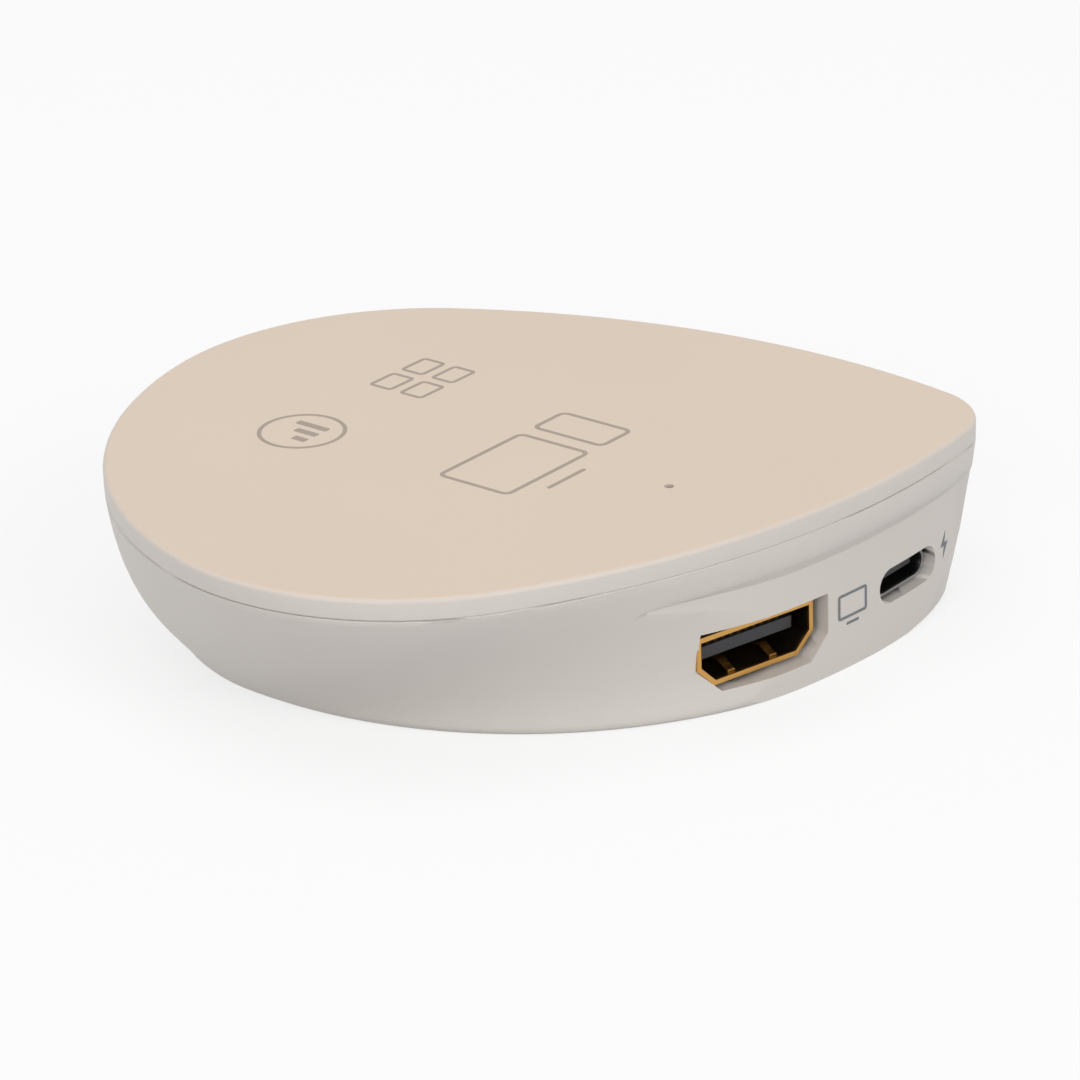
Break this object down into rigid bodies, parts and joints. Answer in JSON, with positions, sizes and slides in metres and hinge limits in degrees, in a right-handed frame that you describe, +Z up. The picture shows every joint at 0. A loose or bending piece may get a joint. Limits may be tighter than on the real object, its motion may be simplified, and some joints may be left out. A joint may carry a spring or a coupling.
{
  "type": "wireless display dongle",
  "caption": "Palm-sized rounded-triangle wireless display dongle: beige top, pale grey tapering sides, a display socket and a power socket set in a recessed panel near the narrow tip.",
  "frame": {"origin": "underside centre of the overall bounding box, on the table surface", "axes": "+Z up out of the top cover, +X towards the narrow tip, sockets in the flank facing -Y and +X"},
  "size_m": [0.0903, 0.0786, 0.0198],
  "materials": {
    "shell_side": "fine satin moulded plastic, pale warm grey",
    "shell_top": "satin plastic, pale champagne beige",
    "clear_pipe": "frosted clear acrylic",
    "board": "green solder mask over glass laminate",
    "gold_shell": "gold-coloured plated sheet",
    "black_plastic": "black glass-filled moulding",
    "contacts": "plated contact metal",
    "steel_shell": "drawn and plated steel",
    "chip_black": "moulded chip case",
    "pad_grey": "soft silicone gap pad",
    "sink_metal": "extruded aluminium, clear finish",
    "module_board": "blue solder mask over laminate",
    "antenna_metal": "tinned spring strip",
    "ferrite": "pressed iron powder",
    "capacitor_can": "drawn can",
    "ceramic_tan": "fired ceramic",
    "led_white": "clear resin over a pale case",
    "screw_steel": "plated steel"
  },
  "bodies": {
    "root": {"bottom_housing": "shell_side", "top_cover": "shell_top", "light_pipe": "clear_pipe", "main_board": "board", "display_socket_shell": "gold_shell", "display_socket_insulator": "black_plastic", "display_socket_contacts": "contacts", "power_socket_shell": "steel_shell", "power_socket_insulator": "black_plastic", "power_socket_contacts": "contacts", "processor_chip": "chip_black", "thermal_pad": "pad_grey", "heat_sink": "sink_metal", "memory_chips": "chip_black", "flash_chip": "chip_black", "radio_module_board": "module_board", "radio_shield_can": "steel_shell", "antenna_left": "antenna_metal", "antenna_right": "antenna_metal", "power_inductors": "ferrite", "power_regulators": "chip_black", "bulk_capacitors": "capacitor_can", "ceramic_capacitors": "ceramic_tan", "crystal": "steel_shell", "status_led": "led_white", "board_screws": "screw_steel"}
  },
  "joints": []
}
